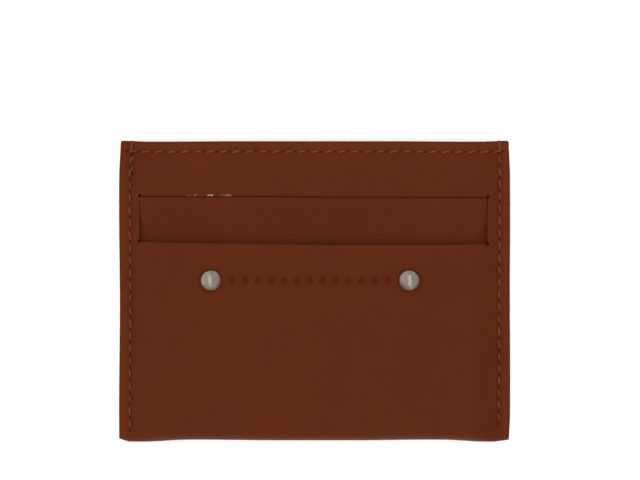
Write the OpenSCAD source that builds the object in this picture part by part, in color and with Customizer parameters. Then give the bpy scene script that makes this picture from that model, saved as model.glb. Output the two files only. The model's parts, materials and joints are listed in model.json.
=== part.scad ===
// Slim leather wallet: one outer strip folded over at the bottom, a lining panel sewn inside
// each half of it, four rows of stitching and a pair of two-piece rivets.
// It lies on its back. +Z points out of the face with the rivets, +Y out of the mouth.
// Origin: the middle of the footprint, on the surface that the back rests on.

/* [Outline] */
// Width from side edge to side edge
wallet_w = 97; // [96:0.2:104]
// Height of the leather from the bottom fold to the mouth edge
wallet_h = 74.4; // [70:0.2:90]
// Radius of the two corners at the mouth
corner_r = 0.8; // [0.4:0.1:1.6]

/* [Leather] */
// Thickness of the outer strip
outer_t = 1.2; // [1:0.1:1.4]
// Thickness of each lining panel
lining_t = 0.8; // [0.6:0.1:1]

/* [Pockets] */
// Free depth of each card slot, between the outer leather and its lining
card_gap = 1.2; // [1.1:0.1:1.4]
// Free depth of the banknote pocket, between the two linings
note_gap = 1.2; // [0.8:0.1:1.6]
// Width of the flat middle of the three pockets
pocket_w = 86.4; // [86:0.1:86.6]
// Width of the band on each side that slopes from the flat middle down to the seam
slope_w = 1.8; // [1.6:0.1:1.8]
// Height of the lip along the mouth where a lining is sewn to the outer leather
lip_h = 5; // [4:0.5:6]
// Height over which a lining leaves that lip and drops to the card slot's full depth
lip_run = 3; // [2:0.5:4]

/* [Card window] */
// Width of the window that is cut in each face
window_w = 86; // [85.8:0.1:86.2]
// Height of the window
window_h = 11.7; // [8:0.1:14]
// Distance from the mouth edge down to the window
window_drop = 13.8; // [12:0.1:18]
// Sideways offset of the window from the middle
window_shift = -0.3; // [-0.4:0.05:0.4]
// Radius of the hole punched at each corner of the window
relief_r = 0.55; // [0.3:0.05:0.7]

/* [Rivets] */
// Diameter of the domed cap
rivet_d = 5; // [4:0.1:6]
// Height of the cap above the leather
rivet_h = 1.1; // [0.8:0.1:1.4]
// Distance between the two rivets
rivet_span = 49.0; // [44:0.1:56]
// Distance from the mouth edge down to the rivets
rivet_drop = 34.5; // [32:0.1:40]
// Sideways offset of the rivets and of the pressed band between them
rivet_shift = -1.15; // [-1.5:0.05:1.5]

/* [Pressed band] */
// Number of lozenges pressed in a row between the rivets
lozenge_n = 13; // [7:1:15]
// Width of a lozenge
lozenge_w = 2.4; // [1.6:0.1:2.4]
// Height of a lozenge
lozenge_h = 2.7; // [1.6:0.1:3.2]
// Depth of the pressing
lozenge_depth = 0.25; // [0.1:0.05:0.4]

/* [Stitching] */
// Distance from the leather's edge to a row of stitches
stitch_inset = 2.4; // [2.4:0.1:2.5]
// Spacing of the stitches along a row; each row rounds it to fit a whole number of them
stitch_pitch = 3.15; // [2.8:0.05:3.6]
// Length of the thread that shows in one stitch
stitch_l = 2.2; // [1.6:0.1:2.4]
// Lean of a stitch from the line of its row, in degrees
stitch_lean = 12; // [0:1:14]
// Diameter of the thread
thread_d = 0.5; // [0.4:0.05:0.5]
// Width of the pressed channel that a row lies in
channel_w = 1; // [1:0.05:1.1]

/* [Hidden] */
$fn = 64;

// Heights above the middle plane, which lies between the two linings
lining_in = note_gap / 2;
outer_in = lining_in + lining_t + card_gap;
lip_in = outer_in - lining_t;
seam_out = lining_t + outer_t;
face_out = outer_in + outer_t;

// Places along X, measured from the middle
half_w = wallet_w / 2;
flat_x = pocket_w / 2;
foot_x = flat_x + slope_w;
slope_angle = atan((outer_in - lining_t) / slope_w);
bend_shift = outer_t * tan(slope_angle / 2);
seam_x = half_w - stitch_inset;

// Places along Y: the thread that loops over the mouth edge is the highest point
mouth_y = (wallet_h - thread_d) / 2;
fold_y = mouth_y - wallet_h + face_out;
top_row_y = mouth_y - stitch_inset;
rivet_y = mouth_y - rivet_drop;

// Rows of stitches
side_channel = 0.3;
side_l = top_row_y - fold_y;
side_n = round(side_l / stitch_pitch);
side_pitch = side_l / side_n;
top_n = round(2 * seam_x / stitch_pitch);
top_pitch = 2 * seam_x / top_n;

// Rivet parts
rim_h = 0.3;
post_r = 1;
post_bore_r = 0.6;
base_t = 0.3;
base_r = 2.2;
pin_r = 0.55;
pin_h = 1;

cut = 0.5;

// 0 on the seam and 1 on the flat middle; bend moves both bends outwards
function rise(x, bend) = max(0, min(1, (foot_x + bend - abs(x)) / slope_w));
function face_level(x) = seam_out + (face_out - seam_out) * rise(x, bend_shift);
function lip_level(x) = lip_in * rise(x, 0);

// Half of the wallet's thickness, seen along Y: the outer leather's section
module outer_section() {
    polygon([
        [-half_w, lining_t], [-foot_x, lining_t], [-flat_x, outer_in],
        [flat_x, outer_in], [foot_x, lining_t], [half_w, lining_t],
        [half_w, seam_out], [foot_x + bend_shift, seam_out], [flat_x + bend_shift, face_out],
        [-flat_x - bend_shift, face_out], [-foot_x - bend_shift, seam_out], [-half_w, seam_out]
    ]);
}

// What lies above the face's surface once that is lowered by depth
module above_face(depth) {
    polygon([
        [-half_w - cut, seam_out - depth], [-foot_x - bend_shift, seam_out - depth],
        [-flat_x - bend_shift, face_out - depth], [flat_x + bend_shift, face_out - depth],
        [foot_x + bend_shift, seam_out - depth], [half_w + cut, seam_out - depth],
        [half_w + cut, face_out + cut], [-half_w - cut, face_out + cut]
    ]);
}

// Draws an X-Z section from y0 up to y1
module along_y(y0, y1) {
    translate([0, y1, 0])
        rotate([90, 0, 0])
            linear_extrude(y1 - y0)
                children();
}

// Shows its children and their copy on the other side of the middle plane
module both_halves() {
    children();
    mirror([0, 0, 1])
        children();
}

// Lifts what was drawn about the middle plane onto the resting surface
module from_middle_plane() {
    translate([0, 0, face_out])
        children();
}

// Round corner at each end of the mouth edge, as a cutter through all layers
module mouth_corner_cut() {
    for (side = [-1, 1])
        translate([side * (half_w - corner_r), mouth_y - corner_r, -face_out - cut])
            linear_extrude(2 * (face_out + cut))
                difference() {
                    translate([side > 0 ? 0 : -2 * corner_r, 0])
                        square(2 * corner_r);
                    circle(corner_r);
                }
}

// One half of the outer strip above the fold
module outer_half() {
    difference() {
        along_y(fold_y, mouth_y)
            outer_section();
        along_y(top_row_y - channel_w / 2, top_row_y + channel_w / 2)
            above_face(thread_d);
        for (side = [-1, 1])
            translate([side * seam_x - channel_w / 2, fold_y - cut, seam_out - side_channel])
                cube([channel_w, wallet_h, cut]);
        window_cut();
    }
}

// The fold at the bottom: the same section swept half a turn about the middle plane
module outer_fold() {
    translate([0, fold_y, 0])
        rotate([0, 90, 0])
            rotate([0, 0, 180])
                rotate_extrude(angle = 180)
                    rotate(90)
                        mirror([0, 1])
                            outer_section();
}

module window_cut() {
    low = [window_shift - window_w / 2, mouth_y - window_drop - window_h, 0];
    translate(low)
        cube([window_w, window_h, face_out + cut]);
    for (x = [0, window_w], y = [0, window_h])
        translate(low + [x, y, 0])
            cylinder(r = relief_r, h = face_out + cut);
}

// Row of lozenges pressed into the front face between the rivets
module lozenge_cut() {
    pitch = (rivet_span - rivet_d - lozenge_w) / lozenge_n;
    for (i = [0 : lozenge_n - 1])
        translate([rivet_shift + (i - (lozenge_n - 1) / 2) * pitch, rivet_y, face_out - lozenge_depth])
            linear_extrude(cut)
                polygon([
                    [-lozenge_w / 2, 0], [0, -lozenge_h / 2], [lozenge_w / 2, 0], [0, lozenge_h / 2]
                ]);
}

module outer_leather() {
    color("#67301a")
        from_middle_plane()
            difference() {
                union() {
                    both_halves()
                        outer_half();
                    outer_fold();
                }
                mouth_corner_cut();
                lozenge_cut();
                for (side = [-1, 1])
                    translate([rivet_shift + side * rivet_span / 2, rivet_y, outer_in - cut])
                        cylinder(r = post_r, h = outer_t + 2 * cut);
            }
}

// A lining panel is a bent sheet over a coarse grid: flat on the seams, lower in the middle
// below the lip than along it. Its lower edge stands inside the fold.
lining_xs = [-half_w, -foot_x, -flat_x, flat_x, foot_x, half_w];
lining_ys = [fold_y, mouth_y - lip_h - lip_run, mouth_y - lip_h, mouth_y];
function lining_level(i, j) = i < 2 || i > 3 ? 0 : j < 2 ? lining_in : lip_in;

module lining_sheet() {
    nx = len(lining_xs);
    ny = len(lining_ys);
    layer = nx * ny;
    points = [
        for (k = [0, 1], j = [0 : ny - 1], i = [0 : nx - 1])
            [lining_xs[i], lining_ys[j], lining_level(i, j) + k * lining_t]
    ];
    // Corners of one grid cell, split along the same diagonal on both faces
    cells = [for (j = [0 : ny - 2], i = [0 : nx - 2]) let (a = j * nx + i) [a, a + 1, a + nx, a + nx + 1]];
    under = [for (c = cells) each [[c[0], c[1], c[3]], [c[0], c[3], c[2]]]];
    over = [for (f = under) [f[2] + layer, f[1] + layer, f[0] + layer]];
    // Vertices round the sheet's border, then one wall of two triangles on each border edge
    border = [
        for (i = [0 : nx - 2]) i,
        for (j = [0 : ny - 2]) j * nx + nx - 1,
        for (i = [nx - 1 : -1 : 1]) (ny - 1) * nx + i,
        for (j = [ny - 1 : -1 : 1]) j * nx
    ];
    walls = [
        for (k = [0 : len(border) - 1])
            let (a = border[k], b = border[(k + 1) % len(border)])
            each [[b, a, a + layer], [b, a + layer, b + layer]]
    ];
    difference() {
        polyhedron(points, concat(under, over, walls));
        mouth_corner_cut();
    }
}

module front_lining() {
    color("#5c2b18")
        from_middle_plane()
            lining_sheet();
}

module back_lining() {
    color("#5c2b18")
        from_middle_plane()
            mirror([0, 0, 1])
                lining_sheet();
}

// Straight length of thread from p to q
module thread(p, q) {
    d = q - p;
    translate(p)
        rotate([0, acos(d[2] / norm(d)), atan2(d[1], d[0])])
            cylinder(d = thread_d, h = norm(d), $fn = 24);
}

// Stitches along the mouth: on the outer face in their channel, and inside on the lining's lip
module top_row() {
    dx = stitch_l / 2 * cos(stitch_lean);
    dy = stitch_l / 2 * sin(stitch_lean);
    for (i = [0 : top_n - 1]) {
        x = -seam_x + (i + 0.5) * top_pitch;
        sunk = thread_d / 2;
        thread([x - dx, top_row_y - dy, face_level(x - dx) - sunk],
               [x + dx, top_row_y + dy, face_level(x + dx) - sunk]);
        if (abs(x) + dx < flat_x)
            thread([x - dx, top_row_y + dy, lip_level(x) - sunk],
                   [x + dx, top_row_y - dy, lip_level(x) - sunk]);
    }
}

// Stitches down one side, in the channels of both faces, and the loop over the mouth edge
module seam_row(x) {
    dx = stitch_l / 2 * sin(stitch_lean);
    dy = stitch_l / 2 * cos(stitch_lean);
    z = seam_out - side_channel + thread_d / 2;
    both_halves() {
        for (i = [0 : side_n - 1]) {
            y = top_row_y - (i + 0.5) * side_pitch;
            thread([x + dx, y - dy, z], [x - dx, y + dy, z]);
        }
        thread([x, top_row_y, z], [x, mouth_y + thread_d, z]);
    }
    thread([x, mouth_y + thread_d / 2, -z], [x, mouth_y + thread_d / 2, z]);
}

module front_top_stitching() {
    color("#a0714b")
        from_middle_plane()
            top_row();
}

module back_top_stitching() {
    color("#a0714b")
        from_middle_plane()
            mirror([0, 0, 1])
                top_row();
}

module left_seam_stitching() {
    color("#9a6a55")
        from_middle_plane()
            seam_row(-seam_x);
}

module right_seam_stitching() {
    color("#9a6a55")
        from_middle_plane()
            seam_row(seam_x);
}

// Domed cap with the hollow post that goes through the outer leather
module rivet_cap(side) {
    crown_h = rivet_h - rim_h;
    crown_r = (pow(rivet_d / 2, 2) + pow(crown_h, 2)) / (2 * crown_h);
    color("#9d968c")
        translate([rivet_shift + side * rivet_span / 2, rivet_y, 2 * face_out]) {
            rotate_extrude()
                union() {
                    square([rivet_d / 2, rim_h]);
                    intersection() {
                        translate([0, rivet_h - crown_r])
                            circle(crown_r);
                        translate([0, rim_h])
                            square([rivet_d / 2, crown_h]);
                    }
                }
            translate([0, 0, -outer_t])
                difference() {
                    cylinder(r = post_r, h = outer_t);
                    translate([0, 0, -cut])
                        cylinder(r = post_bore_r, h = outer_t + cut);
                }
        }
}

// Flat base on the inside of the outer leather, with the pin that is pressed into the post
module rivet_base(side) {
    color("#8b857c")
        translate([rivet_shift + side * rivet_span / 2, rivet_y, face_out + outer_in]) {
            translate([0, 0, -base_t])
                cylinder(r = base_r, h = base_t);
            cylinder(r = pin_r, h = pin_h);
        }
}

module left_rivet_cap() { rivet_cap(-1); }
module left_rivet_base() { rivet_base(-1); }
module right_rivet_cap() { rivet_cap(1); }
module right_rivet_base() { rivet_base(1); }

outer_leather();
front_lining();
back_lining();
front_top_stitching();
back_top_stitching();
left_seam_stitching();
right_seam_stitching();
left_rivet_cap();
left_rivet_base();
right_rivet_cap();
right_rivet_base();
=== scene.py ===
"""Looks of the slim leather wallet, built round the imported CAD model.

The wallet lies on its back: +Z out of the face with the rivets, +Y out of the mouth. Leather is
drawn as flat patterns, cut with their windows and needle holes, and then bent into place.
Pattern coordinates are x across and s along the leather from the mouth edge. Shapes are in
millimetres; materials, floor, lights and camera are in metres. A side is -1 or 1: left or right
for a seam, back or front for a half of the wallet.
"""
import json
import math

import bmesh
import bpy
import numpy as np
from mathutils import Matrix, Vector
from mathutils.geometry import delaunay_2d_cdt


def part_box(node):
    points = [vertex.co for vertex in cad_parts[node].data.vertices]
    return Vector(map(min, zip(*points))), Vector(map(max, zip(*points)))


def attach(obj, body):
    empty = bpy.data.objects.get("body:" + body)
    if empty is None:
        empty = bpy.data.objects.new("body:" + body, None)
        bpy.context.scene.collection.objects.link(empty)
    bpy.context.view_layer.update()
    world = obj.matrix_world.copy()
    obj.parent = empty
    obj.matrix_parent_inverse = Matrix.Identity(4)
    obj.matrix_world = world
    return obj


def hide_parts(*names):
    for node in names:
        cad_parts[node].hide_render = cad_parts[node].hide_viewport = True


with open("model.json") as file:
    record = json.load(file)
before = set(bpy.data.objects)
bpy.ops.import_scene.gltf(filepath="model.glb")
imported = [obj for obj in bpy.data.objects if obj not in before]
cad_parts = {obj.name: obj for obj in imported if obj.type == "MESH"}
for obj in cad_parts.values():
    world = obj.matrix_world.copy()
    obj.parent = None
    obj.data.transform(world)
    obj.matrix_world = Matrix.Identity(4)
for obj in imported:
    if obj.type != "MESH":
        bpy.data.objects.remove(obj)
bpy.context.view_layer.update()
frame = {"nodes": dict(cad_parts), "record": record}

MM = 0.001


def box_mm(node):
    """Lowest and highest corner of a CAD node, in millimetres."""
    return tuple(np.array(corner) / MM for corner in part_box(node))


# ---------------------------------------------------------------- sizes, from the frame
OUTER_LO, OUTER_HI = box_mm("outer_leather")
LINING_LO, LINING_HI = box_mm("front_lining")
HALF_W = OUTER_HI[0]
MOUTH_Y = OUTER_HI[1]
BOTTOM_Y = OUTER_LO[1]
MID_Z = LINING_LO[2]
FACE_OUT = OUTER_HI[2] - MID_Z
LIP_OUT = LINING_HI[2] - MID_Z
OUTER_T = FACE_OUT - LIP_OUT
HALF_LENGTH = MOUTH_Y - LINING_LO[1]

# Sizes that the frame's boxes don't show, as in the CAD: the lining's thickness, half the depth
# of the banknote pocket, the seam's distance from the edge, and how far the record's openings
# stay inside the edges of the window. The thread is drawn a trace thinner than in the CAD.
LINING_T = 0.8
NOTE_HALF = 0.6
STITCH_INSET = 2.4
OPENING_GAP = 0.1
THREAD_R = 0.24
SEAM_X = HALF_W - STITCH_INSET

# Levels are distances from the middle plane to the middle of a leather's thickness
OUTER_LAND = LINING_T + OUTER_T / 2
OUTER_FACE = FACE_OUT - OUTER_T / 2
SEAM_FACE = MID_Z + LINING_T + OUTER_T
FOLD_LENGTH = math.pi * OUTER_FACE
STRIP_LENGTH = 2 * HALF_LENGTH + FOLD_LENGTH


def opening_window(name):
    """x0, x1 and the window's near and far edge as distances from the mouth."""
    for opening in frame["record"]["physics"]["openings"]:
        if opening["name"] == name:
            lo, hi = (np.array(c) / MM for c in opening["box_m"])
            return (lo[0] - OPENING_GAP, hi[0] + OPENING_GAP,
                    MOUTH_Y - hi[1] - OPENING_GAP, MOUTH_Y - lo[1] + OPENING_GAP)
    raise KeyError(name)


def rivet_sizes(side_name):
    """Place, radius and top of one rivet cap."""
    lo, hi = box_mm(side_name + "_rivet_cap")
    return {"x": (lo[0] + hi[0]) / 2, "y": (lo[1] + hi[1]) / 2, "r": (hi[0] - lo[0]) / 2, "top": hi[2]}


WINDOW = opening_window("front_window")
RIVETS = {side_name: rivet_sizes(side_name) for side_name in ("left", "right")}
RIVET_R = RIVETS["left"]["r"]


def smooth(a, b, v):
    """0 below a, 1 above b, with a soft turn at both ends."""
    t = np.clip((np.asarray(v, float) - a) / (b - a), 0, 1)
    return t * t * (3 - 2 * t)


# ---------------------------------------------------------------- the leather's bent shape
RISE_FOOT, RISE_TOP = 45.2, 39.5  # |x| where the leather begins to rise, and where it is up
CROWN = 0.05  # share by which the face is lower at RISE_TOP than in the middle
MOUTH_SHARE = 0.78  # rise of the lens-shaped mouth, against the face's
MOUTH_BLUNT = 2.4  # power that shapes the lens
MOUTH_FADE = 15  # s where the lens has turned into the flat face
SLACK = 0.05  # unevenness of the face
SLANT_SHARE = 0.6  # part of it that runs aslant

LIP_END, LIP_RUN = 13.5, 9.5  # s where the lining leaves the outer leather, and over how much
SIDE_FROM, SIDE_FULL = 4, 0.6  # distances inside the window's ends where it clings again
SIDE_FAR, SIDE_GONE = 6, 1  # distances before the far edge over which that ends
CLING_AIR = 0.03  # gap between the two where they cling
SWELL = 1.0  # how far the lining swells into the window
SWELL_START, SWELL_FULL = -0.25, 0.0  # distances inside its edge where that begins and is full
SWELL_NEAR, SWELL_FAR = 1.5, 3  # distances from the near and far edge between which it fades

FOLD_ROUND = 0.82  # how far the fold bulges, against a half circle
SHIFT_FROM = 48  # s where the faces begin to slide to meet the fold
LINING_DROP = 0.12  # the lining's edge lies this far below the mouth edge
PROBE = 0.05  # half step of the finite differences that give a normal


def side_rise(x, s):
    """0 on the seams and 1 in the middle; along the mouth it swells like a lens."""
    plateau = 1 - smooth(RISE_TOP, RISE_FOOT, np.abs(x))
    plateau = plateau * (1 - CROWN * (np.abs(x) / RISE_TOP).clip(0, 1) ** 2)
    lens = MOUTH_SHARE * (1 - (np.abs(x) / RISE_FOOT).clip(0, 1) ** MOUTH_BLUNT)
    return lens + (plateau - lens) * smooth(0, MOUTH_FADE, s)


def slack(x, s):
    """Soft unevenness of used leather, never above the CAD face."""
    broad = np.sin(x * 0.071 + 0.8) * np.sin(s * 0.083 + 0.3)
    slanting = SLANT_SHARE * np.sin(x * 0.13 - s * 0.061 + 2.0)
    return -SLACK * (1 + SLANT_SHARE + broad + slanting)


def outer_level(x, s):
    """Middle of the outer leather above the middle plane, on either half."""
    return OUTER_LAND + (OUTER_FACE - OUTER_LAND + slack(x, s)) * side_rise(x, s)


def window_bow(u):
    """How far the window's near and far edges stray at u, which is -1 to 1 along them, as knife
    cuts in soft leather do."""
    return -0.05 + 0.15 * u - 0.05 * u ** 2, 0.1 + 0.31 * u - 0.46 * u ** 2


def lining_level(x, s):
    """The lining clings to the outer leather round the window's upper edge and ends, swelling
    into the window a little, and lies low where the card slides down behind the face."""
    left, right, near, far = WINDOW
    end = np.where(x < 0, -left, right)
    above = 1 - smooth(LIP_END, LIP_END + LIP_RUN, s)
    beside = smooth(end - SIDE_FROM, end - SIDE_FULL, np.abs(x))
    beside = beside * (1 - smooth(far - SIDE_FAR, far - SIDE_GONE, s))
    cling = 1 - (1 - above) * (1 - beside)
    rise = side_rise(x, s)
    under_outer = outer_level(x, s) - OUTER_T / 2 - LINING_T / 2 - CLING_AIR * rise
    low = LINING_T / 2 + NOTE_HALF * rise
    within = np.minimum(end - np.abs(x), s - near - window_bow(x / right)[0])
    open_part = smooth(SWELL_START, SWELL_FULL, within)
    open_part = open_part * (1 - smooth(near + SWELL_NEAR, far - SWELL_FAR, s))
    return cling * (under_outer + SWELL * open_part) + (1 - cling) * low


def mouth_line(x):
    """Mouth edge: all but straight, lifted a little at the corners and lower beside them."""
    lift, lift_from = 0.25, 41
    sag, sag_at, sag_width = 0.06, 36, 8
    a = np.abs(x)
    return MOUTH_Y + lift * smooth(lift_from, HALF_W + 1, a) - sag * np.exp(-((a - sag_at) / sag_width) ** 2)


def bottom_line(x):
    """Lowest line of the fold: the pressed seams hang lower than the middle, the corners are cut."""
    seam_hang, middle_lift = 0.53, 0.17
    left_slope, left_from = 0.31, 46.2
    right_slope, right_from = 0.12, 44.7
    a = np.abs(x)
    hang = seam_hang * smooth(31, 43.5, a) - middle_lift * smooth(8, 30, a)
    cut = np.where(x < 0, left_slope * (a - left_from).clip(0), right_slope * (a - right_from).clip(0))
    return BOTTOM_Y - hang + cut


def wave(s, height, crest, length):
    """A cosine wave along s."""
    return height * np.cos((s - crest) * 2 * math.pi / length)


def edge_wave(x, s):
    """Small sideways wander of the two cut side edges, drawn in towards the mouth corners and, on
    the right, towards the fold."""
    mouth_draw, fold_draw = 0.27, 0.18
    left = wave(s, 0.1, crest=16, length=50)
    right = wave(s, 0.04, crest=18, length=40) - fold_draw * smooth(66, 71, s)
    wander = np.where(x < 0, left, right) - mouth_draw * (1 - smooth(0, 9, s))
    return np.sign(x) * (np.abs(x) / HALF_W) ** 6 * wander


def strip_point(x, s):
    """Middle surface of the outer strip: down the front, round the fold, up the back."""
    from_mouth = np.minimum(s, STRIP_LENGTH - s)
    v = np.minimum(from_mouth, HALF_LENGTH)
    turn = np.clip((s - HALF_LENGTH) / FOLD_LENGTH, 0, 1) * math.pi
    depth = FOLD_ROUND * outer_level(x, HALF_LENGTH + 0 * x)
    centre = bottom_line(x) + OUTER_T / 2 + depth
    straight = mouth_line(x) - v
    shift = (centre - (mouth_line(x) - HALF_LENGTH)) * smooth(SHIFT_FROM, HALF_LENGTH, v)
    y = straight + shift - depth * np.sin(turn)
    z = MID_Z + outer_level(x, v) * np.cos(turn)
    return np.stack([x + edge_wave(x, from_mouth), y, z], axis=-1)


def lining_point(x, s, side, n=0):
    """Point n above the middle surface of a lining; it is all but flat, so above is along Z."""
    z = MID_Z + side * lining_level(x, s) + n
    return np.stack([x + edge_wave(x, s), mouth_line(x) - LINING_DROP - s, z], axis=-1)


def bend(point_of, x, s, n):
    """Puts pattern points (x, s), n above the middle surface, on the bent surface."""
    x, s, n = (np.asarray(v, float) for v in (x, s, n))
    across = point_of(x + PROBE, s) - point_of(x - PROBE, s)
    along = point_of(x, s + PROBE) - point_of(x, s - PROBE)
    normal = np.cross(along, across)
    normal /= np.linalg.norm(normal, axis=-1, keepdims=True)
    return point_of(x, s) + normal * n[..., None]


# ---------------------------------------------------------------- mesh helpers
def new_object(name, points_mm, faces, attributes=None):
    """A mesh object from points in millimetres; attributes are one value for each point."""
    mesh = bpy.data.meshes.new(name)
    points = [tuple(p * MM) for p in np.asarray(points_mm, float)]
    mesh.from_pydata(points, [], [tuple(f) for f in faces])
    for key, values in (attributes or {}).items():
        layer = mesh.attributes.new(key, "FLOAT", "POINT")
        layer.data.foreach_set("value", np.asarray(values, np.float32))
    turned = bmesh.new()
    turned.from_mesh(mesh)
    bmesh.ops.recalc_face_normals(turned, faces=turned.faces)
    turned.to_mesh(mesh)
    turned.free()
    mesh.shade_smooth()
    obj = bpy.data.objects.new(name, mesh)
    bpy.context.scene.collection.objects.link(obj)
    return obj


def band_faces(rows, flip=False):
    """Faces between rows of point numbers, each of which goes once round."""
    faces = []
    for above, below in zip(rows, rows[1:]):
        for i in range(len(above)):
            j = (i + 1) % len(above)
            quad = (above[i], above[j], below[j], below[i])
            faces.append(quad[::-1] if flip else quad)
    return faces


def tube_faces(row_count, sides):
    """Faces of rows of points round an axis, with a flat face at both ends."""
    rows = [tuple(range(i * sides, (i + 1) * sides)) for i in range(row_count)]
    return band_faces(rows) + [rows[0][::-1], rows[-1]]


def circle_points(cx, cy, r, count, stretch=1.0, angle=0.0):
    """Points round an ellipse whose long axis, r times stretch, lies at angle."""
    a = np.arange(count) * 2 * math.pi / count
    u, v = r * stretch * np.cos(a), r / stretch * np.sin(a)
    return np.stack([cx + u * math.cos(angle) - v * math.sin(angle),
                     cy + u * math.sin(angle) + v * math.cos(angle)], axis=-1)


def arc_points(centre, r, start, sweep, step):
    """Points of an arc from the angle start through sweep, both ends included, in degrees."""
    a = np.radians(start + np.arange(0, sweep + 1, step))
    return np.array(centre) + r * np.stack([np.cos(a), np.sin(a)], axis=-1)


def line_points(a, b, step):
    """Points from a up to, and without, b."""
    a, b = np.asarray(a, float), np.asarray(b, float)
    count = max(1, int(round(np.linalg.norm(b - a) / step)))
    return a + (b - a) * (np.arange(count) / count)[:, None]


def offset_loop(loop, distance):
    """Moves a closed anticlockwise loop outwards by distance, with blunt sharp corners."""
    def outward(edge):
        n = np.stack([edge[:, 1], -edge[:, 0]], axis=-1)
        return n / np.linalg.norm(n, axis=-1, keepdims=True)
    n1 = outward(loop - np.roll(loop, 1, axis=0))
    n2 = outward(np.roll(loop, -1, axis=0) - loop)
    mid = n1 + n2
    mid /= np.linalg.norm(mid, axis=-1, keepdims=True)
    reach = 1 / np.clip((mid * n1).sum(axis=-1, keepdims=True), 0.6, 1)
    return loop + mid * distance * reach


def inside(points, loop):
    """True for each point within a closed loop."""
    x, y = points[:, 0], points[:, 1]
    found = np.zeros(len(points), bool)
    for (ax, ay), (bx, by) in zip(loop, np.roll(loop, -1, axis=0)):
        crosses = (ay > y) != (by > y)
        if crosses.any():
            found ^= crosses & (x < (bx - ax) * (y - ay) / (by - ay + 1e-12) + ax)
    return found


def distance_to_loop(points, loop):
    """Distance of each point from the nearest place on a closed loop."""
    best = np.full(len(points), np.inf)
    for a, b in zip(loop, np.roll(loop, -1, axis=0)):
        ab = b - a
        t = np.clip(((points - a) @ ab) / (ab @ ab), 0, 1)
        best = np.minimum(best, np.linalg.norm(points - a - t[:, None] * ab, axis=1))
    return best


def seam_line(x, s):
    """Distance from the middle to the seam beside x: hand-guided, so it strays inwards a little."""
    left_in, left_mouth_in, mouth_run = 0.36, 0.42, 5.5
    right_in, right_fold_in = 0.22, 0.3
    from_mouth = np.minimum(s, STRIP_LENGTH - s)
    left = left_in + left_mouth_in * (1 - smooth(0, mouth_run, from_mouth))
    right = right_in + right_fold_in * from_mouth / HALF_LENGTH
    return SEAM_X - np.where(x < 0, left, right)


def rounded_outline(length, corner_r, step):
    """The cut outline of a leather of this length, anticlockwise, with round corners."""
    x, low, high = HALF_W - corner_r, corner_r, length - corner_r
    centres = [np.array(c) for c in ((-x, low), (x, low), (x, high), (-x, high))]
    pieces = []
    for i, centre in enumerate(centres):
        arc = arc_points(centre, corner_r, 180 + 90 * i, 90, 15)
        next_arc = centres[(i + 1) % 4] + arc[-1] - centre
        pieces += [arc[:-1], line_points(arc[-1], next_arc, step)]
    return np.concatenate(pieces)


def window_loop(x0, x1, s0, s1, relief, step):
    """Card window with a round relief punched at each corner, anticlockwise."""
    corners = [np.array(c) for c in ((x0, s0), (x1, s0), (x1, s1), (x0, s1))]
    pieces = []
    for i, corner in enumerate(corners):
        punched = arc_points(corner, relief, 90 * (i + 1), 270, 30)
        next_arc = corners[(i + 1) % 4] - punched[-1] + corner
        pieces += [punched, line_points(punched[-1], next_arc, step)[1:]]
    return np.concatenate(pieces)


def bow(loop):
    """Bends the two long edges of a window loop by window_bow."""
    _, x1, s0, s1 = WINDOW
    t = (loop[:, 1] - s0) / (s1 - s0)
    near, far = window_bow(loop[:, 0] / x1)
    return np.stack([loop[:, 0], loop[:, 1] + (1 - t) * near + t * far], axis=-1)


def spaced(stops):
    """Grid lines through (position, step) stops: each step holds from its stop to the next."""
    lines = [line_points((a, 0), (b, 0), step)[:, 0] for (a, step), (b, _) in zip(stops, stops[1:])]
    return np.concatenate(lines + [[stops[-1][0]]])


# ---------------------------------------------------------------- flat leather
CUT_TURNS = np.radians([25, 55, 90])  # the round of a cut edge, from the face to the wall
EDGE_FADE = 0.55  # width of the burnished band beside a cut edge
UNDER_SHARE = 0.8  # how much of that band the under side has
FILL_AIR = 0.2  # room between the last ring beside an edge and the grid


def nowhere(x, s):
    """A mark that is 0 on the whole pattern."""
    return np.zeros(len(x))


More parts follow.
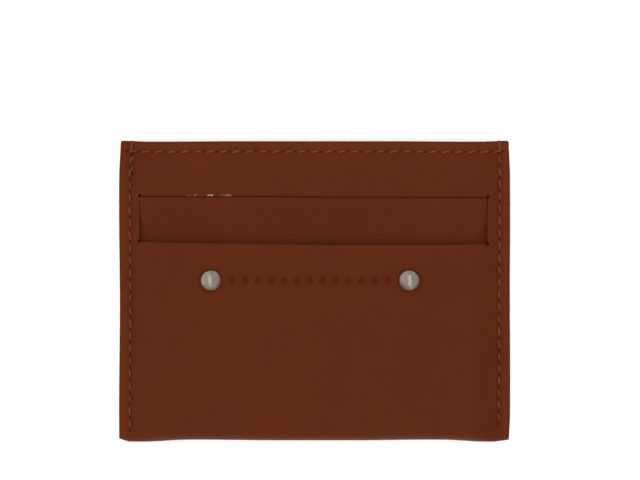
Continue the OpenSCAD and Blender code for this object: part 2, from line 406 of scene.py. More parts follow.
class Leather:
    """A flat piece of leather: its outline, holes through it, and marks pressed in its upper face.

    Each loop is kept with its sign, -1 for the outline and 1 for a hole, and its burnish."""

    def __init__(self, outline, thickness, edge_r):
        self.thickness, self.edge_r = thickness, edge_r
        self.loops = [(outline, -1, 1.0)]
        self.marks = []
        self.seeds = np.zeros((0, 2))
        self.clear = []
        self.guard = 0.0

    def hole(self, loop, burnish=1.0):
        """A hole through the leather; burnish is how much darker than the face its cut edge is."""
        self.loops.append((loop, 1, burnish))

    def mark(self, rings):
        """Rings of points that the mesh must follow, such as the rim of a pressed mark."""
        self.marks.extend(rings)

    def keep_clear(self, cx, cy, r):
        """No grid points within r of this place."""
        self.clear.append((cx, cy, r))

    def follow_edges(self, *distances):
        """Rings of points beside every cut edge so far, so that its shading is even."""
        for loop, sign, _ in self.loops:
            self.mark([offset_loop(loop, sign * (self.edge_r + d)) for d in distances])
        self.guard = max(distances)

    def fill(self, xs, ss):
        """A grid of points for the open leather, away from loops and marks."""
        gx, gs = np.meshgrid(xs, ss)
        points = np.stack([gx.ravel(), gs.ravel()], axis=-1)
        keep = np.ones(len(points), bool)
        for loop, sign, _ in self.loops:
            lo, hi = loop.min(axis=0) - 2, loop.max(axis=0) + 2
            near = ((points > lo) & (points < hi)).all(axis=1) & keep
            idx = np.nonzero(near)[0]
            within = inside(points[idx], loop)
            wrong = ~within if sign < 0 else within
            close = distance_to_loop(points[idx], loop) < self.edge_r + self.guard + FILL_AIR
            keep[idx[wrong | close]] = False
        for cx, cy, r in self.clear:
            keep &= np.hypot(points[:, 0] - cx, points[:, 1] - cy) > r
        self.seeds = points[keep]

    def triangulate(self, rings):
        """Flat points, the triangles within the rings, and which point each ring point became."""
        coords, edges = [], []
        for ring in rings + self.marks:
            start, size = len(coords), len(ring)
            coords.extend(map(tuple, ring))
            if size > 1:
                edges.extend((start + i, start + (i + 1) % size) for i in range(size))
        coords.extend(map(tuple, self.seeds))
        verts, _, faces, origins, _, _ = delaunay_2d_cdt(
            [Vector(c) for c in coords], edges, [], 0, 1e-5, True)
        flat = np.array([tuple(v) for v in verts])
        faces = np.array([tuple(f) for f in faces])
        middle = flat[faces].mean(axis=1)
        keep = np.ones(len(faces), bool)
        for (_, sign, _), ring in zip(self.loops, rings):
            within = inside(middle, ring)
            keep &= within if sign < 0 else ~within
        vertex_of = {old: new for new, olds in enumerate(origins) for old in olds}
        return flat, faces[keep], vertex_of

    def edge_steps(self):
        """(outwards, height) of the points round a cut edge, from the upper face to the lower."""
        r, half = self.edge_r, self.thickness / 2
        upper = [(-r + r * math.sin(a), half - r * (1 - math.cos(a))) for a in CUT_TURNS]
        return upper + [(0.0, 0.0)] + [(out, -height) for out, height in upper[::-1]]

    def burnished(self, flat):
        """1 on every cut edge, times its burnish, fading out over EDGE_FADE."""
        total = np.zeros(len(flat))
        for loop, _, burnish in self.loops:
            away = smooth(self.edge_r, self.edge_r + EDGE_FADE, distance_to_loop(flat, loop))
            total = np.maximum(total, burnish * (1 - away))
        return total

    def build(self, name, place, depth_of=nowhere, plain_of=nowhere, shade_and_grime_of=nowhere):
        """Triangulates the pattern, gives it thickness and soft cut edges, and bends it.

        place(x, s, n) is the bent place of pattern point (x, s), n above the middle surface.
        depth_of is how deep the upper face is pressed, plain_of the part of it that stays undyed,
        and the last mark how far the upper face is painted as dark as a cut edge: painted contact shade,
        with a little grime."""
        half = self.thickness / 2
        rings = [offset_loop(loop, sign * self.edge_r) for loop, sign, _ in self.loops]
        flat, faces, vertex_of = self.triangulate(rings)
        x, s = flat[:, 0], flat[:, 1]
        count, depth, edge = len(flat), depth_of(x, s), self.burnished(flat)

        pattern = [flat, flat]
        heights = [half - depth, np.full(count, -half)]
        # The upper face's edge mark also carries the painted shade round the rivet caps.
        edge_and_shade_value = [np.maximum(edge, shade_and_grime_of(x, s)), edge * UNDER_SHARE]
        press_value = [depth - plain_of(x, s), np.zeros(count)]
        solid_faces = [tuple(f) for f in faces] + [tuple(f[::-1] + count) for f in faces]

        total, start = 2 * count, 0
        for (loop, sign, burnish), ring in zip(self.loops, rings):
            size = len(ring)
            top = [vertex_of[start + i] for i in range(size)]
            start += size
            rows = [top]
            for out, height in self.edge_steps():
                pattern.append(offset_loop(loop, -sign * out))
                heights.append(np.full(size, height))
                edge_and_shade_value.append(np.full(size, burnish))
                press_value.append(np.zeros(size))
                rows.append(range(total, total + size))
                total += size
            rows.append([t + count for t in top])
            solid_faces += band_faces(rows, flip=sign > 0)
        x, s = np.concatenate(pattern).T
        return new_object(name, place(x, s, np.concatenate(heights)), solid_faces, {
            "edge": np.concatenate(edge_and_shade_value), "press": np.concatenate(press_value),
            "rubbed_and_sheen": rubbed_and_sheen(x, s), "pale_fleck": pale_edge_flecks(x, s)})


# ---------------------------------------------------------------- stitching layout
SIDE_FIRST = {-1: 3.15, 1: 2.85}  # a seam's first hole, below the mouth edge
SIDE_PITCH = {-1: 3.11, 1: 3.055}
SIDE_COUNT = 22  # stitches of one seam on one face
SIDE_GAP = 0.70  # free room between a hole and its stitch's end
SIDE_LEAN = math.radians(8)
THREAD_OUT = 0.1  # the thread lies this far outside the line of holes
TACK_S = (5.55, 8.1)  # holes of the doubled stitches at the top of the left seam
TACK_IN = 0.42
TOP_DROP = 2.6  # the row along the mouth, below the mouth edge
TOP_COUNT = 29
TOP_X = np.linspace(-HALF_W + 1.66, HALF_W - 1.41, TOP_COUNT + 1)
TOP_GAP = 0.78
TOP_LEAN = math.radians(13)
HAND_ERROR = 0.12
LEAN_ERROR = 0.09
HAND = np.random.RandomState(7)

CHANNEL_HALF = 0.75  # half width of the channel pressed along a seam
CHANNEL_OUT = {-1: 1.5, 1: 0.75}  # the same on the outer side of the left and right seam
CHANNEL_DEPTH = 0.15
CHANNEL_FLOOR = 0.55  # part of its half width that is flat
CHANNEL_START, CHANNEL_RUN = 1.6, 1.5  # its soft ends, before the top row and past the last hole

# A needle hole: rings of (radius, depth, points), stretched along the row round a deep middle
HOLE_RINGS = ((0.62, 0.02, 10), (0.36, 0.09, 12), (0.2, 0.24, 8))
HOLE_LONG = 1.4
HOLE_BOTTOM = 0.4
HOLE_END = 0.8
HOLE_REACH = 1.3
HOLE_AIR = 0.12


def by_hand(size, spread):
    """Small random error of hand work, at most spread either way."""
    return HAND.uniform(-spread, spread, size)


def seam_holes(side):
    """Pattern positions s of one seam's needle holes, all but evenly spaced on the bent leather."""
    s = np.linspace(0, HALF_LENGTH + FOLD_LENGTH / 2, 2000)
    drop = MOUTH_Y - strip_point(side * seam_line(side, s), s)[:, 1]
    count = SIDE_COUNT + 1
    wanted = SIDE_FIRST[side] + np.arange(count) * SIDE_PITCH[side] + by_hand(count, HAND_ERROR)
    return np.interp(wanted, drop, s)


TOP_X[1:-1] += by_hand(TOP_COUNT - 1, HAND_ERROR)
SIDE_S = {side: seam_holes(side) for side in (-1, 1)}


class Holes:
    """Needle holes of a leather: each a small slit along its row, dented round a deep middle."""

    def __init__(self):
        self.places = []

    def add_pair(self, x, s, angle, back_angle):
        """A hole in the front half and its twin in the back half."""
        self.places.append((x, s, angle))
        self.places.append((x, STRIP_LENGTH - s, back_angle))

    def cut_into(self, leather):
        for x, s, angle in self.places:
            leather.mark([circle_points(x, s, r, n, HOLE_LONG, angle) for r, _, n in HOLE_RINGS])
            leather.mark([np.array([[x, s]])])
            leather.keep_clear(x, s, HOLE_RINGS[0][0] * HOLE_LONG + HOLE_AIR)

    def depth(self, x, s):
        radii = [0] + [ring[0] for ring in HOLE_RINGS[::-1]] + [HOLE_END]
        depths = [HOLE_BOTTOM] + [ring[1] for ring in HOLE_RINGS[::-1]] + [0.0]
        total = np.zeros(len(x))
        for hx, hs, angle in self.places:
            near = (np.abs(x - hx) < HOLE_REACH) & (np.abs(s - hs) < HOLE_REACH)
            dx, ds = x[near] - hx, s[near] - hs
            along = (dx * math.cos(angle) + ds * math.sin(angle)) / HOLE_LONG
            across = (ds * math.cos(angle) - dx * math.sin(angle)) * HOLE_LONG
            total[near] = np.maximum(total[near], np.interp(np.hypot(along, across), radii, depths))
        return total


# ---------------------------------------------------------------- outer leather
CORNER_R = 0.6
OUTLINE_STEP = 1.0
EDGE_RINGS = (0.3, 0.7)
OUTER_EDGE_R, LINING_EDGE_R = 0.24, 0.2
RELIEF_R = 0.4
WINDOW_BURNISH = 0.4

LOZENGES = 13
LOZENGE_W, LOZENGE_H, LOZENGE_DEPTH = 2.3, 2.7, 0.24
LOZENGE_FLOOR = 0.72  # scale of a lozenge's flat floor
LOZENGE_CLEAR = 1.45
BAND_X = (RIVETS["left"]["x"] + RIVETS["right"]["x"]) / 2
BAND_S = MOUTH_Y - RIVETS["left"]["y"]
BAND_PITCH = (RIVETS["right"]["x"] - RIVETS["left"]["x"] - 2 * RIVET_R - LOZENGE_W) / LOZENGES

POST_R = 1.02
RIVET_RINGS = (2.0, 2.45, 2.7, 2.95, 3.3, 3.8)
RIVET_CLEAR = 4.2
DENT_DEPTH, DENT_W = 0.2, 1.2  # the leather round a rivet cap is pressed in
# Width of the painted shade, with a little grime, round each rivet cap
SHADE_AND_GRIME_W = 1.2

# Short runs of the window's upper edge drawn with pale flecks: (middle, half length)
PALE_FLECK_RUNS = ((WINDOW[0], 0.35), (-30.3, 0.5), (-25.2, 1.8), (-21.6, 0.7))


def lozenge_centres():
    return [BAND_X + (i - (LOZENGES - 1) / 2) * BAND_PITCH for i in range(LOZENGES)]


def lozenge_ring(cx, scale):
    """Points round one lozenge at this scale, anticlockwise."""
    half_w, half_h = scale * LOZENGE_W / 2, scale * LOZENGE_H / 2
    tips = [(cx + half_w, BAND_S), (cx, BAND_S + half_h), (cx - half_w, BAND_S), (cx, BAND_S - half_h)]
    return np.concatenate([line_points(a, b, 0.6) for a, b in zip(tips, tips[1:] + tips[:1])])


def band_depth(x, s):
    total = np.zeros(len(x))
    for cx in lozenge_centres():
        radius = np.abs(x - cx) / (LOZENGE_W / 2) + np.abs(s - BAND_S) / (LOZENGE_H / 2)
        total = np.maximum(total, LOZENGE_DEPTH * (1 - smooth(LOZENGE_FLOOR, 1.0, radius)))
    return total


def channel_depth(x, s):
    from_mouth = np.minimum(s, STRIP_LENGTH - s)
    across = np.abs(x) - seam_line(x, s)
    outside = np.where(x < 0, CHANNEL_OUT[-1], CHANNEL_OUT[1])
    across = np.where(across > 0, across * CHANNEL_HALF / outside, -across)
    last = SIDE_S[1][-1]
    start = smooth(STITCH_INSET - CHANNEL_START, STITCH_INSET, from_mouth)
    end = 1 - smooth(last, last + CHANNEL_RUN, from_mouth)
    return CHANNEL_DEPTH * (1 - smooth(CHANNEL_HALF * CHANNEL_FLOOR, CHANNEL_HALF, across)) * (start * end)


def rivet_distance(x, s):
    """Distance from the axis of the nearest rivet."""
    return np.minimum(*[np.hypot(x - rivet["x"], s - (MOUTH_Y - rivet["y"])) for rivet in RIVETS.values()])


def rivet_dent(x, s):
    return DENT_DEPTH * (1 - smooth(RIVET_R * 0.95, RIVET_R + DENT_W, rivet_distance(x, s)))


def rivet_shade_and_grime(x, s):
    """1 close round the rivet caps, where the face is painted dark: mostly painted contact shade round each
    cap, with a little wax and grime gathered there.
    """
    return 1 - smooth(RIVET_R, RIVET_R + SHADE_AND_GRIME_W, rivet_distance(x, s))


def rubbed_and_sheen(x, s):
    """1 where the leather is drawn lighter: the margins outside the seams, the fold and the mouth. It is
    partly dye that hands rub thin and partly painted sheen where the rounded fold, mouth and margins catch
    the light.
    """
    from_mouth = np.minimum(s, STRIP_LENGTH - s)
    margin = smooth(CHANNEL_HALF - 0.1, CHANNEL_HALF + 0.5, np.abs(x) - seam_line(x, s))
    # The fold's lighter band is mostly painted sheen where the fold turns towards the light, with some
    # rubbed dye.
    fold = smooth(HALF_LENGTH + 1.5, HALF_LENGTH + 2.9, from_mouth)
    mouth = 0.75 * (1 - smooth(1.5, 2.1, from_mouth)) + 0.25 * (1 - smooth(3, 9, from_mouth))
    return np.maximum(np.maximum(margin, fold), mouth)


def pale_edge_flecks(x, s):
    """1 on short runs of the window's upper edge, which are drawn with pale flecks."""
    near = WINDOW[2] + window_bow(x / WINDOW[1])[0]
    total = np.zeros(len(x))
    for centre, half in PALE_FLECK_RUNS:
        total += np.exp(-((x - centre) / half) ** 2)
    return total.clip(0, 1) * (1 - smooth(0.3, 0.5, np.abs(s - near)))


def add_rivet_holes(leather):
    for rivet in RIVETS.values():
        centre = (rivet["x"], MOUTH_Y - rivet["y"])
        leather.hole(circle_points(*centre, POST_R, 16))
        leather.mark([circle_points(*centre, r, 32) for r in RIVET_RINGS])
        leather.keep_clear(*centre, RIVET_CLEAR)


def add_band(leather):
    """The row of lozenges pressed between the rivets."""
    for cx in lozenge_centres():
        leather.mark([lozenge_ring(cx, 1.0), lozenge_ring(cx, LOZENGE_FLOOR)])
        leather.mark([np.array([[cx, BAND_S]])])
        leather.keep_clear(cx, BAND_S, LOZENGE_CLEAR)


def needle_holes():
    """The holes of both seams, the doubled stitches and the rows along the mouth."""
    holes = Holes()
    for side, positions in SIDE_S.items():
        for s in positions:
            holes.add_pair(side * seam_line(side, s), s, math.pi / 2 - SIDE_LEAN, math.pi / 2 + SIDE_LEAN)
    for s in TACK_S:
        holes.add_pair(TACK_IN - seam_line(-1, s), s, math.pi / 2, math.pi / 2)
    for x in TOP_X:
        holes.add_pair(x, TOP_DROP, -TOP_LEAN, TOP_LEAN)
    return holes


def outer_grid():
    """Grid lines of the strip: fine on the seams, the mouth and the fold, coarse on the faces."""
    seam, slope, face_x = 0.27, 0.6, 1.4
    mouth, face_s, fold = 0.55, 1.5, 0.6
    seam_end, top_end, mouth_end = SEAM_X - 1.1, RISE_TOP - 1, STITCH_INSET + 2
    xs = spaced([(-HALF_W, seam), (-seam_end, slope), (-top_end, face_x), (top_end, slope),
                 (seam_end, seam), (HALF_W, seam)])
    ss = spaced([(0, mouth), (mouth_end, face_s), (HALF_LENGTH - 1, fold),
                 (STRIP_LENGTH - HALF_LENGTH + 1, face_s), (STRIP_LENGTH - mouth_end, mouth),
                 (STRIP_LENGTH, mouth)])
    return xs, ss


def make_outer():
    """The folded outer strip with its two windows."""
    leather = Leather(rounded_outline(STRIP_LENGTH, CORNER_R, OUTLINE_STEP), OUTER_T, OUTER_EDGE_R)
    window = bow(window_loop(*WINDOW, RELIEF_R, OUTLINE_STEP))
    back_window = (window * [1, -1] + [0, STRIP_LENGTH])[::-1]
    leather.hole(window, WINDOW_BURNISH)
    leather.hole(back_window, WINDOW_BURNISH)
    leather.follow_edges(*EDGE_RINGS)
    add_rivet_holes(leather)
    add_band(leather)
    holes = needle_holes()
    holes.cut_into(leather)
    leather.fill(*outer_grid())

    def depth(x, s):
        return np.maximum(holes.depth(x, s) + channel_depth(x, s), band_depth(x, s)) + rivet_dent(x, s)

    def undyed(x, s):
        return 0.95 * channel_depth(x, s) + 0.8 * rivet_dent(x, s)

    def place(x, s, n):
        return bend(strip_point, x, s, n)
    return leather.build("folded_outer_leather", place, depth, undyed, rivet_shade_and_grime)


def make_lining(name, side):
    """One lining panel, with rings of points where it swells into the window."""
    leather = Leather(rounded_outline(HALF_LENGTH, CORNER_R, OUTLINE_STEP), LINING_T, LINING_EDGE_R)
    leather.follow_edges(*EDGE_RINGS)
    x0, x1, near, far = WINDOW
    for inset in (SWELL_START, (SWELL_START + SWELL_FULL) / 2, SWELL_FULL):
        left, right, top, low = x0 + inset, x1 - inset, near + inset, far + 1 - inset
        corners = [(left, top), (right, top), (right, low), (left, low)]
        sides = [line_points(a, b, 0.8) for a, b in zip(corners, corners[1:] + corners[:1])]
        leather.mark([bow(np.concatenate(sides))])
    fine, coarse, mouth = 0.6, 1.6, 0.7
    xs = spaced([(-HALF_W, fine), (-RISE_TOP, coarse), (RISE_TOP, fine), (HALF_W, fine)])
    ss = spaced([(0, mouth), (LIP_END + LIP_RUN + 3, coarse), (HALF_LENGTH, coarse)])
    leather.fill(xs, ss)

    def place(x, s, n):
        return lining_point(x, s, side, n)
    return leather.build(name, place)


# ---------------------------------------------------------------- thread
PLIES = 3
PLY_HEIGHT = 0.13  # the plies' ridges, against the thread's radius
PLY_TURNS = 2.1 / 1.6  # ridges that pass by on each millimetre
TOP_STANDS, SEAM_STANDS = 0.5, 0.7  # the thread's middle above the leather, against its radius
TOP_SINK, SEAM_SINK = 0.5, 0.45  # how far a stitch dives at its ends


def tube(path, radius, sides=10):
    """A twisted thread along a path: points and faces."""
    path = np.asarray(path, float)
    tangent = np.gradient(path, axis=0)
    tangent /= np.linalg.norm(tangent, axis=1, keepdims=True)
    side = np.cross(tangent[0], [0.3, 0.5, 0.81])
    points, run = [], 0.0
    for i, (p, t) in enumerate(zip(path, tangent)):
        side = side - t * (side @ t)
        side /= np.linalg.norm(side)
        other = np.cross(t, side)
        if i:
            run += np.linalg.norm(p - path[i - 1])
        for k in range(sides):
            a = 2 * math.pi * k / sides
            r = radius * (1 + PLY_HEIGHT * math.cos(PLIES * a - 2 * math.pi * PLY_TURNS * run))
            points.append(p + r * (math.cos(a) * side + math.sin(a) * other))
    return points, tube_faces(len(path), sides)


def join_tubes(name, paths, radius):
    """One object of all the stitches of a row."""
    points, faces = [], []
    for path in paths:
        new_points, new_faces = tube(path, radius)
        start = len(points)
        points.extend(new_points)
        faces.extend(tuple(start + i for i in f) for f in new_faces)
    return new_object(name, np.array(points), faces)


def stitch_path(point_of, a, b, top, sink, samples=17):
    """One stitch between two needle holes, in pattern coordinates: it lies at height top and
    dives by sink at both ends, where its points are closest together."""
    t = np.linspace(-1, 1, samples)
    t = np.sign(t) * (1 - (1 - np.abs(t)) ** 1.5)
    along = (1 + t * (1 - 0.1 * t ** 4)) / 2
    x, s = a[0] + (b[0] - a[0]) * along, a[1] + (b[1] - a[1]) * along
    return bend(point_of, x, s, top - sink * np.abs(t) ** 6)


def leaning(start, end, gap, lean):
    """Ends of a stitch that leaves gap free on both sides and leans across its row."""
    middle, half = (start + end) / 2, (end - start) / 2 - gap + by_hand(None, HAND_ERROR)
    tilt = half * math.tan(lean + by_hand(None, LEAN_ERROR))
    return (middle - half, -tilt), (middle + half, tilt)


def top_row_paths(side):
    """Stitches along the mouth of one half: outside on the face, inside on the lining."""
    def lining(x, s):
        return lining_point(x, s, side)
    row = TOP_DROP if side > 0 else STRIP_LENGTH - TOP_DROP
    stands = THREAD_R * TOP_STANDS
    paths = []
    for a, b in zip(TOP_X, TOP_X[1:]):
        (x0, up0), (x1, up1) = leaning(a, b, TOP_GAP, TOP_LEAN)
        outside = (x0, row - side * up0), (x1, row - side * up1)
        paths.append(stitch_path(strip_point, *outside, OUTER_T / 2 + stands, TOP_SINK))
        if max(abs(a), abs(b)) < RISE_TOP:
            within = (x0, TOP_DROP + up0), (x1, TOP_DROP + up1)
            height = -side * (LINING_T / 2 + stands)
            paths.append(stitch_path(lining, *within, height, -side * TOP_SINK))
    return paths


def seam_paths(side):
    """Stitches down one side on both faces, and the loop over the mouth edge."""
    top = OUTER_T / 2 - CHANNEL_DEPTH + THREAD_R * SEAM_STANDS
    paths = [edge_loop_path(side)]

    def add(a, b, inwards, lean):
        x = side * (seam_line(side, (a + b) / 2) + THREAD_OUT - inwards)
        (s0, out0), (s1, out1) = leaning(a, b, SIDE_GAP, lean)
        paths.append(stitch_path(strip_point, (x + out0, s0), (x + out1, s1), top, SEAM_SINK))
        back = (x + out0, STRIP_LENGTH - s0), (x + out1, STRIP_LENGTH - s1)
        paths.append(stitch_path(strip_point, *back, top, SEAM_SINK))

    for a, b in zip(SIDE_S[side], SIDE_S[side][1:]):
        add(a, b, 0, SIDE_LEAN)
    if side < 0:
        tack = (SIDE_S[side][0],) + TACK_S
        for a, b in zip(tack, tack[1:]):
            add(a, b, TACK_IN + THREAD_OUT, 0)
    return paths


def spline(knots, step=0.2):
    """A smooth path through all knots but the first and the last, which only steer it."""
    path = []
    for p0, p1, p2, p3 in zip(knots, knots[1:], knots[2:], knots[3:]):
        for t in np.arange(0, 1, step):
            path.append(0.5 * (2 * p1 + (p2 - p0) * t + (2 * p0 - 5 * p1 + 4 * p2 - p3) * t * t
                               + (3 * p1 - p0 - 3 * p2 + p3) * t ** 3))
    return np.array(path + [knots[-2]])


def edge_loop_path(side):
    """Thread from the first front hole, over the top row and the mouth edge, to the back hole."""
    lift = LINING_T + OUTER_T + THREAD_R * 0.4
    first = SIDE_FIRST[side]
    low, high = side * float(seam_line(side, first)), side * float(seam_line(side, 0.5))
    edge = float(mouth_line(high)) - THREAD_R * 0.4
    hole = MOUTH_Y - first + 0.25
    over = lift + THREAD_R * 1.7
    front = [(low, hole - 0.05, lift - 0.9), (low, hole + 0.08, lift - 0.1), (low, hole + 0.42, over),
             ((low + high) / 2, hole + 1.1, lift + 0.1), (high, edge - 0.45, lift),
             (high, edge - 0.08, lift - 0.22), (high, edge, lift - 0.8)]
    back = [(x, y, -z) for x, y, z in front[::-1]]
    return spline([np.array(p) for p in front + back]) + [0, 0, MID_Z]


# ---------------------------------------------------------------- rivets
RIVET_TILT = math.radians(5.3)
DOME_POWER = 2.3
ROLL_R = 0.17  # round of the cap's rolled rim
ROLL_UP = 0.06  # its middle above the face
UNDERSIDE = -0.12
CAP_POST_R, BORE_R = 1.0, 0.62


def lathe(name, profile, centre, tilt, sides=64):
    """Turns a profile of (radius, height) points about an axis that leans by tilt towards +X."""
    points = []
    for r, z in profile:
        for k in range(sides):
            a = 2 * math.pi * k / sides
            x, y = r * math.cos(a), r * math.sin(a)
            leaned = (x * math.cos(tilt) + z * math.sin(tilt), y, z * math.cos(tilt) - x * math.sin(tilt))
            points.append(np.array(centre) + leaned)
    return new_object(name, np.array(points), tube_faces(len(profile), sides))


def make_rivet(side_name):
    """Domed cap with a rolled rim, on the post that goes through the leather."""
    rivet = RIVETS[side_name]
    r, face = rivet["r"], MID_Z + FACE_OUT
    h = rivet["top"] - face
    turn = np.radians(np.linspace(-90, 62, 9))
    rim = [(r - ROLL_R + ROLL_R * math.cos(a), ROLL_UP + ROLL_R * math.sin(a)) for a in turn]
    edge_r, edge_z = rim[-1]
    dome = [(edge_r * u, edge_z + (h - edge_z) * (1 - u ** DOME_POWER)) for u in np.linspace(0.96, 0.02, 20)]
    post = [(BORE_R, -OUTER_T), (CAP_POST_R, -OUTER_T), (CAP_POST_R, UNDERSIDE), (r * 0.8, UNDERSIDE)]
    tilt = -math.copysign(RIVET_TILT, rivet["x"])
    return lathe(side_name + "_rivet_head", post + rim + dome, (rivet["x"], rivet["y"], face), tilt)


# ---------------------------------------------------------------- materials
class Nodes:
    """Small helper that adds and links the nodes of one material."""

    def __init__(self, name):
        self.material = bpy.data.materials.new(name)
        self.material.use_nodes = True
        self.tree = self.material.node_tree
        self.shader = self.tree.nodes["Principled BSDF"]
        coordinates = self.add("ShaderNodeTexCoord")
        self.position = coordinates.outputs["Object"]
        self.normal = coordinates.outputs["Normal"]

    def add(self, kind, inputs=None, **settings):
        node = self.tree.nodes.new(kind)
        for key, value in settings.items():
            setattr(node, key, value)
        for key, value in (inputs or {}).items():
            self.put(node.inputs[key], value)
        return node

    def put(self, socket, value):
        if isinstance(value, bpy.types.NodeSocket):
            self.tree.links.new(value, socket)
        else:
            socket.default_value = value

    def noise(self, scale, detail=3.0, rough=0.5, stretch=None):
        vector = self.position
        if stretch:
            vector = self.add("ShaderNodeMapping", {"Vector": vector, "Scale": stretch}).outputs["Vector"]
        return self.add("ShaderNodeTexNoise", {"Vector": vector, "Scale": scale, "Detail": detail,
                                               "Roughness": rough}).outputs["Fac"]

    def cells(self, scale):
        inputs = {"Vector": self.position, "Scale": scale}
        return self.add("ShaderNodeTexVoronoi", inputs).outputs["Distance"]

    def attribute(self, name):
        return self.add("ShaderNodeAttribute", attribute_name=name).outputs["Fac"]

    def math(self, operation, a, b=0.0, clamp=False):
        return self.add("ShaderNodeMath", {0: a, 1: b}, operation=operation, use_clamp=clamp).outputs[0]

    def spread(self, value, lo, hi, to_lo, to_hi):
        return self.add("ShaderNodeMapRange", {"Value": value, "From Min": lo, "From Max": hi,
                                               "To Min": to_lo, "To Max": to_hi}).outputs["Result"]

    def mix(self, factor, a, b, blend="MIX"):
        node = self.add("ShaderNodeMix", data_type="RGBA", blend_type=blend)
        self.put(node.inputs["Factor"], factor)
        self.put(node.inputs[6], a)
        self.put(node.inputs[7], b)
        return node.outputs[2]

    def bump(self, height, distance, strength=1.0, normal=None):
        inputs = {"Height": height, "Distance": distance, "Strength": strength}
        if normal is not None:
            inputs["Normal"] = normal
        return self.add("ShaderNodeBump", inputs).outputs["Normal"]

    def finish(self, **sockets):
        for key, value in sockets.items():
            self.put(self.shader.inputs[key.replace("_", " ")], value)
        return self.material


def rgb(r, g, b):
    return (r, g, b, 1.0)


PALE_FLECK_COLOUR = rgb(0.50, 0.27, 0.19)
# Axis for the painted shade and painted leather reflection on the rivet caps, which are drawn darker where
# their face turns away from it
RIM_SHADE_AXIS = (0, 0.22, 1)  # the caps stay bright where their face turns this way


def leather_material(name, base, dark, edge, pressed, roughness):
    """Smooth vegetable-tanned leather: cloudy dye, fine pores, burnished and darker cut edges."""
    n = Nodes(name)
    cloud = n.spread(n.noise(55, 4, 0.55), 0.3, 0.7, 0, 1)
    speck = n.spread(n.noise(900, 3, 0.6), 0.35, 0.65, 0, 1)
    colour = n.mix(n.math("MULTIPLY", cloud, 0.6), base, dark)
    colour = n.mix(n.math("MULTIPLY", speck, 0.2), colour, dark)
    # Lighter on the margins, the fold and the mouth: partly dye rubbed thin, partly painted sheen where they
    # catch the light.
    rub_and_sheen = n.math("MULTIPLY", n.attribute("rubbed_and_sheen"), n.spread(n.noise(260, 4, 0.6), 0.3, 0.7, 0.75, 1.0))
    colour = n.mix(rub_and_sheen, colour, n.mix(1.0, colour, rgb(1.2, 1.22, 1.26), "MULTIPLY"))
    pores = n.cells(2600)
    colour = n.mix(n.spread(pores, 0.1, 0.45, 0.3, 0), colour, dark)
    press = n.spread(n.attribute("press"), 0.04, 0.3, 0, 1)
    colour = n.mix(n.math("MULTIPLY", press, 0.8), colour, pressed)
    # The edge mark darkens the burnished cut edges and also paints the shade round the rivet caps.
    rim = n.attribute("edge")
    fray = n.math("MULTIPLY", rim, n.spread(n.noise(420, 3, 0.6), 0.3, 0.7, 0.6, 1.0), clamp=True)
    colour = n.mix(n.math("POWER", fray, 1.6), colour, edge)
    # Pale flecks on short runs of the window's upper edge.
    fleck = n.math("MULTIPLY", n.attribute("pale_fleck"), n.spread(n.noise(1500, 2, 0.5), 0.48, 0.62, 0, 1))
    fleck = n.math("MULTIPLY", fleck, n.math("MULTIPLY", rim, 2.2), clamp=True)
    colour = n.mix(fleck, colour, PALE_FLECK_COLOUR)
    wrinkle = n.noise(650, 5, 0.6)
    height = n.math("ADD", n.math("MULTIPLY", pores, 0.6), wrinkle)
    normal = n.bump(height, 0.00007, 0.7)
    normal = n.bump(n.noise(75, 3, 0.5), 0.00035, 0.2, normal)
    rough = n.math("ADD", n.spread(n.noise(140, 3, 0.5), 0.3, 0.7, roughness - 0.05, roughness + 0.06),
                   n.math("MULTIPLY", rim, -0.12))
    return n.finish(Base_Color=colour, Roughness=rough, Normal=normal, Specular_IOR_Level=0.14,
                    Specular_Tint=rgb(1.0, 0.42, 0.22))


def thread_material():
    """Waxed tan thread with fine fibres along it."""
    n = Nodes("waxed_thread")
    fibre = n.spread(n.noise(3200, 3, 0.7), 0.3, 0.7, 0, 1)
    shade = n.spread(n.noise(260, 2, 0.5), 0.3, 0.7, 0, 1)
    colour = n.mix(fibre, rgb(0.136, 0.035, 0.0125), rgb(0.090, 0.021, 0.0075))
    colour = n.mix(n.math("MULTIPLY", shade, 0.4), colour, rgb(0.155, 0.043, 0.017))
    normal = n.bump(n.noise(4200, 3, 0.6), 0.00005, 0.6)
    return n.finish(Base_Color=colour, Roughness=0.7, Normal=normal, Specular_IOR_Level=0.15)


def rivet_material():
    """Antique nickel: satin metal, polished up and down, with tarnish clouds. Its slopes near the rim are
    painted darker and browner, most of all on the side away from the mouth: painted shade and a painted
    reflection of the leather round the cap."""
    n = Nodes("antique_nickel")
    cloud = n.spread(n.noise(620, 3, 0.5, stretch=(1, 0.25, 0.25)), 0.32, 0.68, 0, 1)
    streak = n.spread(n.noise(800, 3, 0.55, stretch=(1, 0.22, 0.22)), 0.36, 0.64, 0, 1)
    scratch = n.spread(n.noise(5200, 2, 0.5, stretch=(1, 0.05, 0.05)), 0.35, 0.65, 0, 1)
    colour = n.mix(cloud, rgb(0.276, 0.231, 0.200), rgb(0.196, 0.163, 0.140))
    colour = n.mix(n.math("MULTIPLY", streak, 0.55), colour, rgb(0.138, 0.128, 0.106))
    # Painted shade and reflection: the cap is drawn dark brown where its face turns away from the axis.
    upright = n.add("ShaderNodeVectorMath", {0: n.normal, 1: RIM_SHADE_AXIS}, operation="DOT_PRODUCT")
    painted_rim_shade = n.spread(upright.outputs["Value"], 0.68, 0.86, 0.7, 0)
    colour = n.mix(painted_rim_shade, colour, rgb(0.112, 0.052, 0.030))
    rough = n.math("ADD", n.spread(cloud, 0, 1, 0.22, 0.28), n.math("MULTIPLY", scratch, 0.06))
    normal = n.bump(scratch, 0.000010, 0.4)
    normal = n.bump(n.noise(1500, 3, 0.6), 0.00003, 0.01, normal)
    return n.finish(Base_Color=colour, Metallic=1.0, Roughness=rough, Normal=normal)


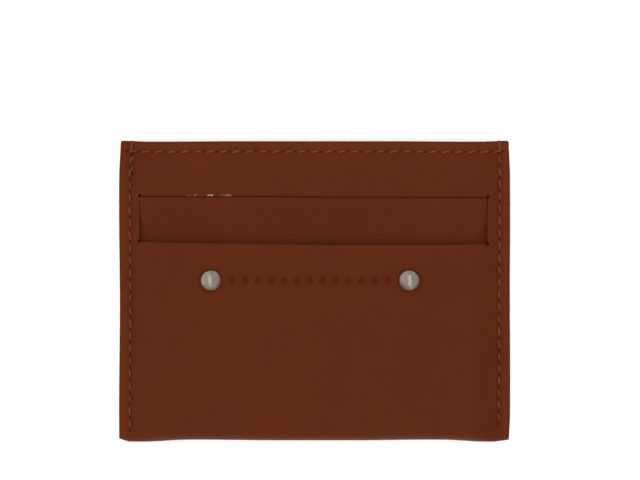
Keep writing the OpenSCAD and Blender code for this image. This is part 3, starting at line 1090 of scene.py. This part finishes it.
def floor_material():
    n = Nodes("pale_floor")
    tone = n.spread(n.noise(6, 2, 0.5), 0.3, 0.7, 0, 1)
    colour = n.mix(tone, rgb(0.90, 0.90, 0.90), rgb(0.92, 0.92, 0.92))
    return n.finish(Base_Color=colour, Roughness=0.85, Specular_IOR_Level=0.1,
                    Emission_Color=rgb(1, 1, 1), Emission_Strength=0.12)


def wear(piece, material, slot, *nodes):
    """Gives a piece its material, hangs it under the root body and hides the CAD nodes that it stands in
    for; the slot argument is not used.
    """
    piece.data.materials.clear()
    piece.data.materials.append(material)
    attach(piece, "root")
    if nodes:
        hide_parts(*nodes)


# ---------------------------------------------------------------- the wallet
outer_leather = leather_material(
    "chestnut_leather", base=rgb(0.0750, 0.0140, 0.0034), dark=rgb(0.0585, 0.0105, 0.0026),
    edge=rgb(0.054, 0.0106, 0.0031), pressed=rgb(0.054, 0.0034, 0.0003), roughness=0.62)
lining_leather = leather_material(
    "lining_leather", base=rgb(0.0760, 0.0145, 0.0037), dark=rgb(0.0595, 0.011, 0.0028),
    edge=rgb(0.050, 0.010, 0.003), pressed=rgb(0.030, 0.0045, 0.0012), roughness=0.7)
thread = thread_material()
nickel = rivet_material()

wear(make_outer(), outer_leather, "outer_leather", "outer_leather")
wear(make_lining("front_lining_panel", 1), lining_leather, "lining_leather", "front_lining")
wear(make_lining("back_lining_panel", -1), lining_leather, "lining_leather", "back_lining")
for row, paths_of, side in (("front_top", top_row_paths, 1), ("back_top", top_row_paths, -1),
                            ("left_seam", seam_paths, -1), ("right_seam", seam_paths, 1)):
    wear(join_tubes(row + "_thread", paths_of(side), THREAD_R), thread, "thread", row + "_stitching")
for side_name in RIVETS:
    wear(make_rivet(side_name), nickel, "rivet_metal", side_name + "_rivet_cap")
    base = frame["nodes"][side_name + "_rivet_base"]
    base.data.materials.clear()
    base.data.materials.append(nickel)


# ---------------------------------------------------------------- floor, light and camera
FLOOR_HALF = 3.0
FIELD_W = 0.15885  # width that the picture shows at the seams' level
FIELD_X, FIELD_BELOW = 0.00131, 0.02447  # its middle, across and below the mouth edge
LENS, SENSOR = 100.0, 36.0
WORLD_STRENGTH = 1.10
LIGHTS = (  # name, place, size, watts; each one faces the origin
    ("key", (-0.92, 0.36, 0.72), (2.4, 2.4), 6.4),
    ("front", (0.02, -1.02, 0.62), (1.4, 0.9), 1.6),
    ("back", (0.0, 1.02, 0.70), (1.8, 1.2), 1.3),
    ("strip", (-0.01, 0.0, 1.0), (1.7, 0.07), 3.0),
)


def make_floor():
    mesh = bpy.data.meshes.new("floor")
    corners = [(x * FLOOR_HALF, y * FLOOR_HALF, 0) for x, y in ((-1, -1), (1, -1), (1, 1), (-1, 1))]
    mesh.from_pydata(corners, [], [(0, 1, 2, 3)])
    floor = bpy.data.objects.new("floor", mesh)
    bpy.context.scene.collection.objects.link(floor)
    floor.data.materials.append(floor_material())


def make_light(name, place, size, watts):
    data = bpy.data.lights.new(name, "AREA")
    data.shape = "RECTANGLE"
    data.size, data.size_y = size
    data.energy = watts
    light = bpy.data.objects.new(name, data)
    light.location = place
    light.rotation_euler = (-Vector(place)).to_track_quat("-Z", "Y").to_euler()
    bpy.context.scene.collection.objects.link(light)


def make_world():
    world = bpy.data.worlds.new("studio")
    world.use_nodes = True
    background = world.node_tree.nodes["Background"]
    background.inputs["Color"].default_value = rgb(1.0, 1.0, 1.0)
    background.inputs["Strength"].default_value = WORLD_STRENGTH
    bpy.context.scene.world = world


def make_camera():
    """Straight down on the face, as wide as the photographed field at the seams."""
    data = bpy.data.cameras.new("camera")
    data.sensor_width, data.lens = SENSOR, LENS
    data.clip_start, data.clip_end = 0.02, 20
    camera = bpy.data.objects.new("camera", data)
    height = SEAM_FACE * MM + FIELD_W * LENS / SENSOR
    camera.location = (FIELD_X, MOUTH_Y * MM - FIELD_BELOW, height)
    bpy.context.scene.collection.objects.link(camera)
    bpy.context.scene.camera = camera


make_floor()
for light in LIGHTS:
    make_light(*light)
make_world()
make_camera()
bpy.context.scene.view_settings.view_transform = "Standard"
